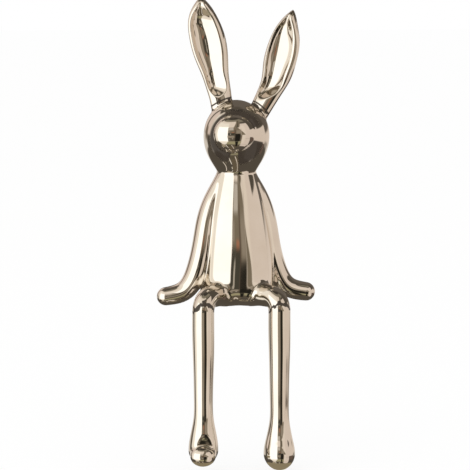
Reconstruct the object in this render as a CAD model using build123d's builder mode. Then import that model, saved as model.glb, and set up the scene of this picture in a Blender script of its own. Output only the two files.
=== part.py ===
"""A long-eared rabbit that sits on the edge of a shelf with its legs hanging in front.

The figure is slip cast in separate moulds, and the castings are luted together before
firing: a bell-shaped body with a disc that closes its pour hole, an egg-shaped head
with a round muzzle, two leaf-shaped ears with a hollow front, two arms that end in
mitten hands, and two long legs with drop-shaped feet.

Millimetres, +Z up. The rabbit faces -Y. The origin is the middle of the flat underside
that rests on the shelf. Left and right are the rabbit's own: its left side is +X.
"""

import os

from build123d import *

# Body: a bell, round in plan, that flares from the neck to a rounded hem
NECK_HEIGHT = 59.0
NECK_RADIUS = 8.6
HEM_RADIUS = 16.9
HEM_ROUND = 8.3
# Share of the rise from the hem's round to the neck, and share of the neck-to-hem flare
BELL_SHARES = [(0.24, 0.90), (0.62, 0.58), (0.90, 0.19)]
BODY_WALL = 2.6

# Disc that closes the pour hole, with the vent that the kiln needs
POUR_HOLE_RADIUS = 7.6
DISC_THICKNESS = 3.0
VENT_RADIUS = 1.5
VENT_BACK = 4.6

# Head: an egg with its small end down, cast hollow
HEAD_RADIUS = 14.8
HEAD_HEIGHT = 32.2
HEAD_WALL = 2.4
# Share of the rise from neck to crown, and share of the head's radius
HEAD_SHARES = [(0.15, 0.78), (0.33, 0.95), (0.50, 1.00), (0.75, 0.87), (0.93, 0.51)]

# Muzzle: a flattened ball sunk into the front of the head, a little to the right side
MUZZLE_HALF_WIDTH = 9.4
MUZZLE_HALF_HEIGHT = 8.7
MUZZLE_HALF_DEPTH = 6.0
MUZZLE_SINK = 3.9
MUZZLE_ASIDE = -2.1
# Height of the muzzle's centre, as a share of the head's height
MUZZLE_HEIGHT_SHARE = 0.547

# Ears: leaf-shaped blades with a hollow front
LEFT_EAR_RISE = 49.2
LEFT_EAR_LEAN = 17.6
LEFT_EAR_HALF_WIDTH = 7.8
LEFT_EAR_TURN = -16.0
RIGHT_EAR_RISE = 55.2
RIGHT_EAR_LEAN = -9.5
RIGHT_EAR_HALF_WIDTH = 8.2
RIGHT_EAR_TURN = 4.0
EAR_SET_BACK = 1.0
EAR_LEAN_BACK = 3.0
# Height of the roots inside the head, as a share of the head's height, and their places
# out from its middle, as shares of its radius
EAR_ROOT_HEIGHT_SHARE = 0.715
LEFT_EAR_ROOT_SHARE = 0.56
RIGHT_EAR_ROOT_SHARE = -0.405
EAR_HALF_DEPTH = 2.9
EAR_RIM = 0.5
EAR_HOLLOW_DEPTH = 3.9
EAR_HOLLOW_ROUND = 6.0
# Level slices up each ear: share of its rise, of the way out to its tip, of its half
# width and of its hollow's depth, which is zero where the slice has no hollow
LEFT_EAR_SHARES = [
    (0.00, 0.00, 0.64, 0.00),
    (0.18, 0.275, 0.735, 0.04),
    (0.25, 0.385, 0.775, 0.70),
    (0.36, 0.54, 0.85, 0.95),
    (0.52, 0.65, 0.96, 1.00),
    (0.70, 0.76, 0.92, 1.00),
    (0.86, 0.85, 0.60, 0.80),
    (0.95, 0.94, 0.28, 0.06),
    (1.00, 1.00, 0.03, 0.00),
]
RIGHT_EAR_SHARES = [
    (0.00, 0.00, 0.56, 0.00),
    (0.18, 0.11, 0.63, 0.04),
    (0.25, 0.19, 0.67, 0.70),
    (0.36, 0.335, 0.75, 0.95),
    (0.50, 0.52, 0.93, 1.00),
    (0.68, 0.73, 1.00, 1.00),
    (0.84, 0.91, 0.77, 0.80),
    (0.95, 0.97, 0.33, 0.06),
    (1.00, 1.00, 0.03, 0.00),
]

# Arms: tubes down the sides of the body that turn outwards into mitten hands
SHOULDER_DROP = 2.0
SHOULDER_SINK = 2.0
HAND_REACH = 36.3
FINGER_RADIUS = 4.25
# How far the fingertips would dip below the shelf, which leaves them a small flat
FINGER_DIP = 0.2
ARM_HALF_THICKNESS = 4.85
ARM_HALF_BREADTH = 6.2
LEFT_HAND_BACK = 5.0
RIGHT_HAND_BACK = -4.0
# Points down each arm's middle: share of the drop from shoulder to fingers, of the way
# out, and of the hand's shift back or forward
ARM_LINE_SHARES = [
    (0.00, 0.00, 0.00),
    (0.18, 0.17, 0.25),
    (0.43, 0.31, 0.60),
    (0.77, 0.45, 1.00),
    (0.956, 0.68, 1.00),
    (1.00, 1.00, 1.00),
]
# Evenly spaced slices down each arm: share of the half thickness and half breadth
ARM_SHARES = [
    (0.54, 0.70),
    (0.73, 0.84),
    (0.87, 0.94),
    (0.93, 1.00),
    (0.97, 1.00),
    (1.00, 0.98),
    (0.96, 0.88),
]

# Legs: solid rods, bent at the knee over the shelf's edge
THIGH_RADIUS = 5.0
THIGH_LIFT = 0.3
HIP_OUT = 5.0
HIP_FORWARD = 6.0
LEFT_KNEE_OUT = 16.7
RIGHT_KNEE_OUT = 17.0
KNEE_FORWARD = 22.5
KNEE_BEND = 5.9
CALF_RADIUS = 4.35
CALF_SHARE = 0.62
ANKLE_RADIUS = 4.65
ANKLE_SHARE = 0.78
FOOT_RADIUS = 6.7
LEFT_SOLE_DROP = 71.8
RIGHT_SOLE_DROP = 69.0
TOE_RADIUS = 5.8
TOE_REACH = 3.2

# How far a cut runs past the faces that it goes through
OVERRUN = 1.0


def bell_points(wall):
    """Points up the bell's side, from the hem's round to the neck, moved in by a wall."""
    rise = NECK_HEIGHT - HEM_ROUND
    flare = HEM_RADIUS - NECK_RADIUS
    inside = [
        (NECK_RADIUS + flare * flare_share - wall, HEM_ROUND + rise * rise_share)
        for rise_share, flare_share in BELL_SHARES
    ]
    return [(HEM_RADIUS - wall, HEM_ROUND), *inside, (NECK_RADIUS - wall, NECK_HEIGHT)]


def head_points(wall, neck_wall):
    """Points up the head's side, from the neck to the crown, moved in by a wall."""
    radius = HEAD_RADIUS - wall
    height = HEAD_HEIGHT - wall
    inside = [
        (radius * radius_share, NECK_HEIGHT + height * rise_share)
        for rise_share, radius_share in HEAD_SHARES
    ]
    return [(NECK_RADIUS - neck_wall, NECK_HEIGHT), *inside, (0, NECK_HEIGHT + height)]


# The body's outer form, filled, which also trims what is luted to it
with BuildPart() as body_form:
    with BuildSketch(Plane.XZ):
        with BuildLine():
            side = Spline(*bell_points(0))
            hem = RadiusArc(side @ 0, (HEM_RADIUS - HEM_ROUND, 0), HEM_ROUND)
            Polyline(hem @ 1, (0, 0), (0, NECK_HEIGHT), side @ 1)
        make_face()
    revolve(axis=Axis.Z)

with BuildPart() as body_shell:
    add(body_form.part)
    with BuildSketch(Plane.XZ):
        with BuildLine():
            inner = Spline(*bell_points(BODY_WALL))
            Polyline(
                inner @ 1,
                (0, NECK_HEIGHT),
                (0, DISC_THICKNESS),
                (HEM_RADIUS - HEM_ROUND, DISC_THICKNESS),
                inner @ 0,
            )
        make_face()
    revolve(axis=Axis.Z, mode=Mode.SUBTRACT)
    Cylinder(
        POUR_HOLE_RADIUS,
        DISC_THICKNESS,
        align=(Align.CENTER, Align.CENTER, Align.MIN),
        mode=Mode.SUBTRACT,
    )

with BuildPart() as base_disc:
    Cylinder(
        POUR_HOLE_RADIUS, DISC_THICKNESS, align=(Align.CENTER, Align.CENTER, Align.MIN)
    )
    with Locations((0, VENT_BACK, 0)):
        Cylinder(
            VENT_RADIUS,
            DISC_THICKNESS,
            align=(Align.CENTER, Align.CENTER, Align.MIN),
            mode=Mode.SUBTRACT,
        )

# The head's outer form, filled, which also trims the muzzle and the ears
with BuildPart() as head_form:
    with BuildSketch(Plane.XZ):
        with BuildLine():
            cheek = Spline(*head_points(0, 0), tangents=[(1, 2), (-1, 0)])
            Polyline(cheek @ 1, (0, NECK_HEIGHT), cheek @ 0)
        make_face()
    revolve(axis=Axis.Z)

with BuildPart() as head_shell:
    add(head_form.part)
    with BuildSketch(Plane.XZ):
        with BuildLine():
            hollow = Spline(
                *head_points(HEAD_WALL, BODY_WALL), tangents=[(1, 2), (-1, 0)]
            )
            Polyline(hollow @ 1, (0, NECK_HEIGHT), hollow @ 0)
        make_face()
    revolve(axis=Axis.Z, mode=Mode.SUBTRACT)

with BuildPart() as flattened_ball:
    Sphere(MUZZLE_HALF_WIDTH, rotation=(90, 0, 0))
    scale(
        by=(
            1,
            MUZZLE_HALF_DEPTH / MUZZLE_HALF_WIDTH,
            MUZZLE_HALF_HEIGHT / MUZZLE_HALF_WIDTH,
        )
    )

with BuildPart() as muzzle:
    muzzle_centre = Vector(
        MUZZLE_ASIDE,
        MUZZLE_SINK - HEAD_RADIUS,
        NECK_HEIGHT + HEAD_HEIGHT * MUZZLE_HEIGHT_SHARE,
    )
    with Locations(muzzle_centre):
        add(flattened_ball.part)
    add(head_form.part, mode=Mode.SUBTRACT)


def ear(root_share, rise, lean, half_width, turn, slice_shares):
    """A leaf-shaped blade lofted through level slices, less the hollow of its front."""
    root = Vector(
        HEAD_RADIUS * root_share,
        EAR_SET_BACK,
        NECK_HEIGHT + HEAD_HEIGHT * EAR_ROOT_HEIGHT_SHARE,
    )
    across = Vector(1, 0, 0).rotate(Axis.Z, turn)
    slices = []
    for rise_share, out_share, width_share, hollow_share in slice_shares:
        centre = root + Vector(
            lean * out_share, EAR_LEAN_BACK * rise_share, rise * rise_share
        )
        level = Plane(origin=centre, x_dir=across, z_dir=(0, 0, 1))
        slices.append((level, half_width * width_share, EAR_HOLLOW_DEPTH * hollow_share))
    with BuildPart() as blade:
        for level, edge, depth in slices:
            with BuildSketch(level):
                Ellipse(edge, min(EAR_HALF_DEPTH, edge))
        loft()
        for level, edge, depth in slices:
            if depth:
                floor = depth - min(EAR_HALF_DEPTH, edge)
                with BuildSketch(level):
                    with Locations((0, floor - EAR_HOLLOW_ROUND)):
                        Ellipse(edge - EAR_RIM, EAR_HOLLOW_ROUND)
        loft(mode=Mode.SUBTRACT)
        add(head_form.part, mode=Mode.SUBTRACT)
    return blade


left_ear = ear(
    LEFT_EAR_ROOT_SHARE,
    LEFT_EAR_RISE,
    LEFT_EAR_LEAN,
    LEFT_EAR_HALF_WIDTH,
    LEFT_EAR_TURN,
    LEFT_EAR_SHARES,
)
right_ear = ear(
    RIGHT_EAR_ROOT_SHARE,
    RIGHT_EAR_RISE,
    RIGHT_EAR_LEAN,
    RIGHT_EAR_HALF_WIDTH,
    RIGHT_EAR_TURN,
    RIGHT_EAR_SHARES,
)


def arm(side, hand_back):
    """A tube down the body's side and out along the shelf, with a rounded hand."""
    shoulder = Vector(side * (NECK_RADIUS - SHOULDER_SINK), 0, NECK_HEIGHT - SHOULDER_DROP)
    fingers = Vector(
        side * (HAND_REACH - FINGER_RADIUS), hand_back, FINGER_RADIUS - FINGER_DIP
    )
    reach = fingers - shoulder
    middle = [
        shoulder + Vector(reach.X * out_share, reach.Y * back_share, reach.Z * drop_share)
        for drop_share, out_share, back_share in ARM_LINE_SHARES
    ]
    with BuildPart() as limb:
        with BuildLine() as bone:
            Spline(*middle)
        spine = bone.edges()[0]
        for index, (thickness_share, breadth_share) in enumerate(ARM_SHARES):
            length_share = index / len(ARM_SHARES)
            across = Plane(
                origin=spine @ length_share, x_dir=(0, 1, 0), z_dir=spine % length_share
            )
            with BuildSketch(across):
                Ellipse(
                    ARM_HALF_BREADTH * breadth_share, ARM_HALF_THICKNESS * thickness_share
                )
        fingertip = Plane(origin=fingers, x_dir=(0, 1, 0), z_dir=spine % 1)
        with BuildSketch(fingertip):
            Ellipse(FINGER_RADIUS, FINGER_RADIUS)
        loft()
        with Locations(fingertip):
            Sphere(
                FINGER_RADIUS,
                arc_size1=0,
                align=(Align.CENTER, Align.CENTER, Align.MIN),
            )
        with Locations((0, hand_back, 0)):
            Box(
                2 * (HAND_REACH + OVERRUN),
                2 * (ARM_HALF_BREADTH + OVERRUN),
                ARM_HALF_THICKNESS,
                align=(Align.CENTER, Align.CENTER, Align.MAX),
                mode=Mode.SUBTRACT,
            )
        add(body_form.part, mode=Mode.SUBTRACT)
    return limb


left_arm = arm(1, LEFT_HAND_BACK)
right_arm = arm(-1, RIGHT_HAND_BACK)


def leg(side, knee_out, sole_drop):
    """A thigh that runs out of the body, a tight knee, and a shin that hangs to a foot."""
    thigh_height = THIGH_RADIUS + THIGH_LIFT
    hip = Vector(side * HIP_OUT, -HIP_FORWARD, thigh_height)
    knee = Vector(side * knee_out, -KNEE_FORWARD, thigh_height)
    forward = (knee - hip).normalized()
    bend_start = knee - forward * KNEE_BEND
    shin_top = knee - Vector(0, 0, KNEE_BEND)
    foot_centre = FOOT_RADIUS - sole_drop
    shin_drop = foot_centre - shin_top.Z
    shin_plane = Plane(origin=(knee.X, knee.Y, 0), x_dir=(1, 0, 0), z_dir=(0, -1, 0))
    with BuildPart() as limb:
        with BuildLine() as bone:
            Line(hip, bend_start)
            TangentArc(bend_start, shin_top, tangent=forward)
        with BuildSketch(Plane(origin=hip, z_dir=forward)):
            Circle(THIGH_RADIUS)
        sweep(path=bone.wire())
        with BuildSketch(shin_plane):
            with BuildLine():
                shin = Spline(
                    (THIGH_RADIUS, shin_top.Z),
                    (CALF_RADIUS, shin_top.Z + shin_drop * CALF_SHARE),
                    (ANKLE_RADIUS, shin_top.Z + shin_drop * ANKLE_SHARE),
                    (FOOT_RADIUS, foot_centre),
                    tangents=[(0, -1), (0, -1)],
                )
                sole = RadiusArc(shin @ 1, (0, -sole_drop), FOOT_RADIUS)
                Polyline(sole @ 1, (0, shin_top.Z), shin @ 0)
            make_face()
        revolve(axis=Axis((knee.X, knee.Y, 0), (0, 0, 1)))
        with Locations((knee.X, knee.Y - TOE_REACH, TOE_RADIUS - sole_drop)):
            Sphere(TOE_RADIUS)
        add(body_form.part, mode=Mode.SUBTRACT)
    return limb


left_leg = leg(1, LEFT_KNEE_OUT, LEFT_SOLE_DROP)
right_leg = leg(-1, RIGHT_KNEE_OUT, RIGHT_SOLE_DROP)

pieces = {
    "body_shell": body_shell,
    "base_disc": base_disc,
    "head_shell": head_shell,
    "muzzle": muzzle,
    "left_ear": left_ear,
    "right_ear": right_ear,
    "left_arm": left_arm,
    "right_arm": right_arm,
    "left_leg": left_leg,
    "right_leg": right_leg,
}

os.makedirs("parts", exist_ok=True)
for name, piece in pieces.items():
    piece.part.label = name
    export_step(piece.part, f"parts/{name}.step")
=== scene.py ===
import math

import bpy
import numpy as np
from bpy.props import FloatProperty, FloatVectorProperty, PointerProperty
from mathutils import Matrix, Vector


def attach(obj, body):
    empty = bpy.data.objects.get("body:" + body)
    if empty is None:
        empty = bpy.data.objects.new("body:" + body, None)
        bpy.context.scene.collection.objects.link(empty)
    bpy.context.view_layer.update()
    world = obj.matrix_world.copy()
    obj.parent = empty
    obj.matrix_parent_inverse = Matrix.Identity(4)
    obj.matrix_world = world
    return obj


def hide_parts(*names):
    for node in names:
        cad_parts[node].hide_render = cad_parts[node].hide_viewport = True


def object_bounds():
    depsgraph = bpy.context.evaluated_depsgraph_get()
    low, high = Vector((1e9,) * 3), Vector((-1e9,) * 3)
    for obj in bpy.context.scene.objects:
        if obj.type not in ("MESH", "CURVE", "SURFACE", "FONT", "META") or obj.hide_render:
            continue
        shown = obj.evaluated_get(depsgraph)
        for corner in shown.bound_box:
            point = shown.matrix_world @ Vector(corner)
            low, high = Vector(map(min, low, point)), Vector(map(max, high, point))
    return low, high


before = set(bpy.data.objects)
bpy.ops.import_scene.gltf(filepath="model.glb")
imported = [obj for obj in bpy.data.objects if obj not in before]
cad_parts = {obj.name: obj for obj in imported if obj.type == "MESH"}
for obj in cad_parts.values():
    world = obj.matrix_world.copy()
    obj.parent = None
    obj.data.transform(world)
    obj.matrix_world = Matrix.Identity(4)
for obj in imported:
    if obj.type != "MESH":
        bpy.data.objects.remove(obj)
cad_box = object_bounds()

bl_info = {
    "name": "Shelf Rabbit",
    "version": (1, 0, 0),
    "blender": (4, 5, 0),
    "location": "3D View > Sidebar > Rabbit",
    "description": "Skins a sitting ceramic rabbit in plated glaze and lights it",
    "category": "Object",
}

# Share of the rise from the hem's round to the neck, and share of the neck-to-hem flare
BELL_SHARES = [(0.24, 0.90), (0.62, 0.58), (0.90, 0.19)]
# Share of the rise from neck to crown, and share of the head's radius
HEAD_SHARES = [(0.15, 0.78), (0.33, 0.95), (0.50, 1.00), (0.75, 0.87), (0.93, 0.51)]
# Places from which the outlines of body and head are seen, as shares of their heights
BELL_MIDDLE_SHARE = 0.3
HEAD_MIDDLE_SHARE = 0.5
# Roots of the ears: share of the head's radius beside the middle and of its height
EAR_ROOT_OUT_SHARE = {"left": 0.56, "right": -0.405}
EAR_ROOT_HEIGHT_SHARE = 0.715
# Level slices up each ear: share of its rise, of the way out to its tip, of its half
# width and of its hollow's depth
EAR_SHARES = {
    "left": [
        (0.00, 0.00, 0.64, -0.60),
        (0.195, 0.30, 0.742, 0.04),
        (0.24, 0.37, 0.77, 0.78),
        (0.36, 0.54, 0.85, 0.95),
        (0.52, 0.65, 0.96, 1.00),
        (0.70, 0.76, 0.92, 1.00),
        (0.86, 0.85, 0.60, 0.80),
        (0.95, 0.94, 0.28, 0.06),
        (1.00, 1.00, 0.03, -0.30),
    ],
    "right": [
        (0.00, 0.00, 0.56, -0.60),
        (0.195, 0.125, 0.637, 0.04),
        (0.24, 0.18, 0.665, 0.78),
        (0.36, 0.335, 0.75, 0.95),
        (0.50, 0.52, 0.93, 1.00),
        (0.68, 0.73, 1.00, 1.00),
        (0.84, 0.91, 0.77, 0.80),
        (0.95, 0.97, 0.33, 0.06),
        (1.00, 1.00, 0.03, -0.30),
    ],
}
# The most that a hollow's deepest line is moved aside, as a share of its half width
ASIDE_SHARE = 0.42
# Points down each arm's middle: share of the drop, of the way out and of the hand's
# shift back or forward
ARM_LINE_SHARES = [
    (0.00, 0.00, 0.00),
    (0.18, 0.17, 0.25),
    (0.43, 0.31, 0.60),
    (0.77, 0.45, 1.00),
    (0.956, 0.68, 1.00),
    (1.00, 1.00, 1.00),
]
# Evenly spaced slices down each arm: share of the half thickness and half breadth
ARM_SHARES = [
    (0.54, 0.70),
    (0.73, 0.84),
    (0.87, 0.94),
    (0.93, 1.00),
    (0.97, 1.00),
    (1.00, 0.98),
    (0.96, 0.88),
]
# Places of the calf and the ankle down the shin
CALF_SHARE = 0.62
ANKLE_SHARE = 0.78
# Slow waves of the hand finish: strength, turns along X, Y and Z, and start
WAVES = [
    (1.0, (0.7, 0.0, 0.9), 1.3),
    (0.8, (0.0, 1.3, -0.5), 0.4),
    (0.6, (1.7, 0.6, 0.35), 0.0),
]

# Rows and columns of the grids, with the rows of a tube's rounded end as a third count
BODY_GRID = 170, 220
HEAD_GRID = 130, 210
MUZZLE_GRID = 84, 150
EAR_GRID = 130, 104
ARM_GRID = 150, 72, 12
LEG_GRID = 200, 72, 16
ROOM_GRID = 220, 440
# Rows across the pour hole's floor, up its wall and out to the hem, and the rows that
# run on inside the neighbour
WELL_ROWS = 3, 6, 6
BODY_TUCK_ROWS = 6
HEAD_TUCK_ROWS = 8
# Radius of the innermost ring on the pour hole's floor, as a share of the hole's, and
# the power that crowds an ear's rows towards its tip
WELL_START_SHARE = 0.5
EAR_ROW_POWER = 0.9
# Points along the side of the body or head, the hem and a straight closing line
SIDE_COUNT = 3000
HEM_COUNT = 400
CLOSING_COUNT = 200

# The painted shade in the crease round the muzzle: its middle from the muzzle's, its
# reach as a share of the muzzle's half width and half its soft edge as a share of that,
# the soft edge of the back, where it ends, and the wedges in it left as plain plating,
# each as its aim and the cosines of its soft edge. It is laid out along the photograph's
# right and up.
CREASE_SHIFT = np.array([0.0010, 0.0, -0.0015])
CREASE_REACH = 1.265
CREASE_EDGE = 0.04
CREASE_BACK = 0.0, -0.001
CREASE_WEDGES = [
    ((0.985, 0.17, 0.0), 0.955, 0.935),
    ((-0.13, -0.99, 0.0), 0.985, 0.97),
]
CREASE_RIGHT = (0.9945, -0.1045, 0.0)
CREASE_UP = (0.0118, 0.1126, 0.9936)

# Painted shade round the ears' luted roots: its reach from the head's middle, its
# soft edge, its dark rim's soft inner edge and the noise from which its patches start
EAR_ROOT_REACH = 0.0177
EAR_ROOT_EDGE = 0.0002
EAR_ROOT_RIM = 0.0009, 0.0005
EAR_ROOT_PATCHES = 0.46, 0.52

# The arch of painted shade over each shin, under its knee: height of its top, its fall
# for each metre aside squared, how far its folds stray, the soft edge of its half width
# and the soft edge of the front, where it shows
KNEE_CREASE_HEIGHT = 0.0034
KNEE_CREASE_FALL = 160.0
KNEE_CREASE_STRAY = 0.005
KNEE_CREASE_EDGE = 0.0011, 0.0007
KNEE_CREASE_FRONT = -0.0215, -0.0235

# Noise textures: turns in a metre and detail, and the middle of what they give
FOLD_NOISE = 520.0, 1.0
TONE_NOISE = 55.0, 3.0
HAZE_NOISE = 160.0, 4.0
PINPRICK_NOISE = 900.0, 2.0
MOTTLE_NOISE = 3.0, 2.0
NOISE_MIDDLE = 0.5
# Where in its noise the plating turns from thin to full, and from polished to hazy; the
# haze as a share of the polish; strength and depth, in metres, of the pinpricks
TONE_EDGE = 0.30, 0.62
HAZE_EDGE = 0.35, 0.75
HAZE_SHARE = 1.9
PINPRICK_STRENGTH = 0.06
PINPRICK_DEPTH = 0.00002
# Roughness that wiping adds to the glaze under the base
WIPED = 0.22

# The photograph's view: degrees round from the front and up, how far beside and above
# the origin it looks, in metres, degrees across, and how far it reaches
VIEW_AZIMUTH = -6.0
VIEW_ELEVATION = 6.5
VIEW_ASIDE = -0.000667
VIEW_UP = 0.030464
VIEW_ANGLE = 12.06
VIEW_REACH = 50.0

# Radius of the mirrored room and the elevation up to which its rings are drawn, half
# the floor's side, and place and size of the lamp
ROOM_REACH = 4.0
ROOM_POLE = 89.9
FLOOR_HALF = 9.0
LAMP_PLACE = (-0.5, -0.5, 0.9)
LAMP_SIZE = 0.6
# Largest power of e in the soft edges of the room's patches
EDGE_LIMIT = 60
# Share of white in the floor that the camera sees, its mottle's darkest shade as a share
# of its colour, and its roughness
FLOOR_GLOW = 0.82
FLOOR_MOTTLE = 0.985
FLOOR_ROUGHNESS = 0.9
# How far the feet's glow lies above the floor, and the corners of its discs
GLOW_LIFT = 0.0001
GLOW_CORNERS = 48

# Step along X, Y and Z over which slopes are taken, in metres
NUDGE = 0.00004
NUDGES = NUDGE * np.eye(3)
# Rounds in which a point settles on the skin, its longest step, in metres, and the least
# slope squared that a step is worked out from
SETTLE_ROUNDS = 5
SETTLE_STEP = 0.001
LEAST_SLOPE = 0.05
# Samples along a tube, the rounds that find the nearest place on it, the longest step as
# a share of its length, and the least share of its slope squared in that step
TUBE_SAMPLES = 97
TUBE_ROUNDS = 3
TUBE_STEP = 0.02
TUBE_STIFFNESS = 0.2
# Distance below which a form is worked out in full, and that of a form that isn't there
NEAR = 0.008
FAR = 1.0
# Least width of an ear, least number that is divided by, and least angle between two
# points of a turned outline
TINY = 0.0001
LEAST = 1e-9
LEAST_TURN = 1e-7
# Overlaps past its seam up to which a piece has the normals of the shared skin
NORMALS_REACH = 4

# Pieces that each piece runs into, whose forms are worked out with it
NEIGHBOURS = {
    "body": ("head", "left_arm", "right_arm", "left_leg", "right_leg"),
    "head": ("body", "muzzle", "left_ear", "right_ear"),
    "muzzle": ("head", "body"),
    "left_ear": ("head",),
    "right_ear": ("head",),
    "left_arm": ("body", "head", "left_leg"),
    "right_arm": ("body", "head", "right_leg"),
    "left_leg": ("body", "left_arm"),
    "right_leg": ("body", "right_arm"),
}


def length(name, default, description):
    return FloatProperty(
        name=name, default=default, description=description, min=0.0,
        subtype="DISTANCE", unit="LENGTH", precision=5,
    )


def lengths(name, default, description):
    return FloatVectorProperty(
        name=name, default=default, description=description, min=0.0, unit="LENGTH",
        subtype="XYZ_LENGTH", precision=5,
    )


def offset(name, default, description):
    return FloatProperty(
        name=name, default=default, description=description,
        subtype="DISTANCE", unit="LENGTH", precision=5,
    )


def colour(name, default, description):
    return FloatVectorProperty(
        name=name, default=default, description=description,
        subtype="COLOR", size=3, min=0.0, max=1.0,
    )


class RabbitTrunkSizes(bpy.types.PropertyGroup):
    """Sizes of the body, the head and the muzzle"""

    neck_height: length("Neck Height", 0.059, "Height of the neck above the shelf")
    neck_radius: length("Neck Radius", 0.0086, "Radius of the neck")
    hem_radius: length("Hem Radius", 0.0169, "Radius of the body at its hem")
    hem_round: length("Hem Round", 0.0083, "Radius of the hem's rounded edge")
    hole_radius: length("Hole Radius", 0.0076, "Radius of the pour hole")
    hole_depth: length("Hole Depth", 0.0032, "How far the pour hole is drawn")
    head_radius: length("Head Radius", 0.0148, "Widest radius of the head")
    head_height: length("Head Height", 0.0322, "Height from neck to crown")
    muzzle_half_width: length("Muzzle Half Width", 0.0094, "Half its width")
    muzzle_half_height: length("Muzzle Half Height", 0.0087, "Half its height")
    muzzle_half_depth: length("Muzzle Half Depth", 0.006, "Half its depth")
    muzzle_sink: length("Muzzle Sink", 0.0039, "How far its middle is sunk in the head")
    muzzle_aside: offset("Muzzle Aside", -0.0021, "How far the muzzle sits aside")
    muzzle_height_share: FloatProperty(
        name="Muzzle Height Share", default=0.547, min=0.0, max=1.0,
        description="Height of the muzzle as a share of the head's height",
    )


class RabbitEarSizes(bpy.types.PropertyGroup):
    """Sizes of the two ears"""

    left_rise: length("Left Rise", 0.0492, "Height of the left ear above its root")
    left_lean: offset("Left Lean", 0.0176, "How far out the left tip is")
    left_half_width: length("Left Half Width", 0.0078, "Half the left ear's width")
    left_turn: FloatProperty(
        name="Left Turn", default=math.radians(-16.0), subtype="ANGLE",
        description="How far the left ear is turned about the upright",
    )
    right_rise: length("Right Rise", 0.0552, "Height of the right ear above its root")
    right_lean: offset("Right Lean", -0.0095, "How far out the right tip is")
    right_half_width: length("Right Half Width", 0.0082, "Half the right ear's width")
    right_turn: FloatProperty(
        name="Right Turn", default=math.radians(4.0), subtype="ANGLE",
        description="How far the right ear is turned about the upright",
    )
    set_back: length("Set Back", 0.001, "How far behind the middle the roots stand")
    lean_back: length("Lean Back", 0.003, "How far the tips lean back")
    half_depth: length("Half Depth", 0.0029, "Half the ear's depth, front to back")
    rim: length("Rim", 0.0005, "Width left beside the hollow on each side")
    hollow_depth: length("Hollow Depth", 0.0039, "Depth of the hollow front")
    hollow_round: length("Hollow Round", 0.006, "Roundness of the hollow's floor")
    rim_round: length("Rim Round", 0.0011, "How softly the rim is rounded")
    left_aside: offset("Left Aside", -0.0024, "Left hollow's deepest line, aside")
    right_aside: offset("Right Aside", -0.0030, "Right hollow's deepest line, aside")


class RabbitLimbSizes(bpy.types.PropertyGroup):
    """Sizes of the arms and legs"""

    shoulder_drop: length("Shoulder Drop", 0.002, "Shoulder below the neck")
    shoulder_sink: length("Shoulder Sink", 0.002, "Shoulder inside the neck's side")
    hand_reach: length("Hand Reach", 0.0363, "Fingertip from the middle")
    finger_radius: length("Finger Radius", 0.00425, "Radius of the fingertips")
    finger_dip: length("Finger Dip", 0.0002, "Depth cut flat under the fingertips")
    arm_half_thickness: length("Arm Half Thickness", 0.00485, "Half the arm, outwards")
    arm_half_breadth: length("Arm Half Breadth", 0.0062, "Half the arm, front to back")
    left_hand_back: offset("Left Hand Back", 0.005, "Left hand behind the middle")
    right_hand_back: offset("Right Hand Back", -0.004, "Right hand behind the middle")
    thigh_radius: length("Thigh Radius", 0.005, "Radius of the thighs and knees")
    thigh_lift: length("Thigh Lift", 0.0003, "Thighs clear of the shelf")
    hip_out: length("Hip Out", 0.005, "Hips from the middle")
    hip_forward: length("Hip Forward", 0.006, "Hips in front of the middle")
    left_knee_out: length("Left Knee Out", 0.0167, "Left knee from the middle")
    right_knee_out: length("Right Knee Out", 0.017, "Right knee from the middle")
    knee_forward: length("Knee Forward", 0.0225, "Knees in front of the middle")
    knee_bend: length("Knee Bend", 0.0059, "Radius of the bend's middle line")
    calf_radius: length("Calf Radius", 0.00435, "Thinnest radius of the shins")
    ankle_radius: length("Ankle Radius", 0.00465, "Radius where the foot starts")
    foot_radius: length("Foot Radius", 0.0067, "Widest radius of the feet")
    left_sole_drop: length("Left Sole Drop", 0.0718, "Left sole below the shelf")
    right_sole_drop: length("Right Sole Drop", 0.069, "Right sole below the shelf")
    left_toe_radii: lengths("Left Toe Radii", (0.0058, 0.0056, 0.0068), "Left toes")
    right_toe_radii: lengths("Right Toe Radii", (0.0058, 0.0044, 0.0047), "Right toes")
    left_toe_aside: offset("Left Toe Aside", 0.0, "Left toes beside the middle")
    right_toe_aside: offset("Right Toe Aside", -0.0006, "Right toes beside the middle")
    left_toe_front: length("Left Toe Front", 0.0077, "Left toes from the shin's middle")
    right_toe_front: length("Right Toe Front", 0.009, "Right toes from the shin's middle")
    dip_radii: lengths("Dip Radii", (0.018, 0.009, 0.009), "Dip in the right instep")
    dip_floor: length("Dip Floor", 0.0053, "Bottom of that dip from the shin's middle")
    dip_height: length("Dip Height", 0.0102, "Middle of that dip above the sole")


class RabbitSeamSizes(bpy.types.PropertyGroup):
    """How softly the luted pieces run into each other"""

    arm: length("Arms", 0.0016, "Width of the melt between arm and body")
    leg: length("Legs", 0.0045, "Width of the melt between leg and body")
    neck: length("Neck", 0.0012, "Width of the melt between head and body")
    muzzle: length("Muzzle", 0.0006, "Width of the melt between muzzle and head")
    ear: length("Ears", 0.0012, "Width of the melt between ear and head")
    left_toe: length("Left Toes", 0.0045, "Width of the melt at the left toes")
    right_toe: length("Right Toes", 0.0018, "Width of the melt at the right toes")
    dip: length("Instep Dip", 0.0012, "Width of the melt at the dip's rim")
    overlap: length("Overlap", 0.0004, "How far a piece runs on past its seam")
    wave: length("Wave", 0.00005, "Depth of the hand finish's slow waves")
    wave_length: length("Wave Length", 0.026, "Spacing of the hand finish's slow waves")


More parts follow.
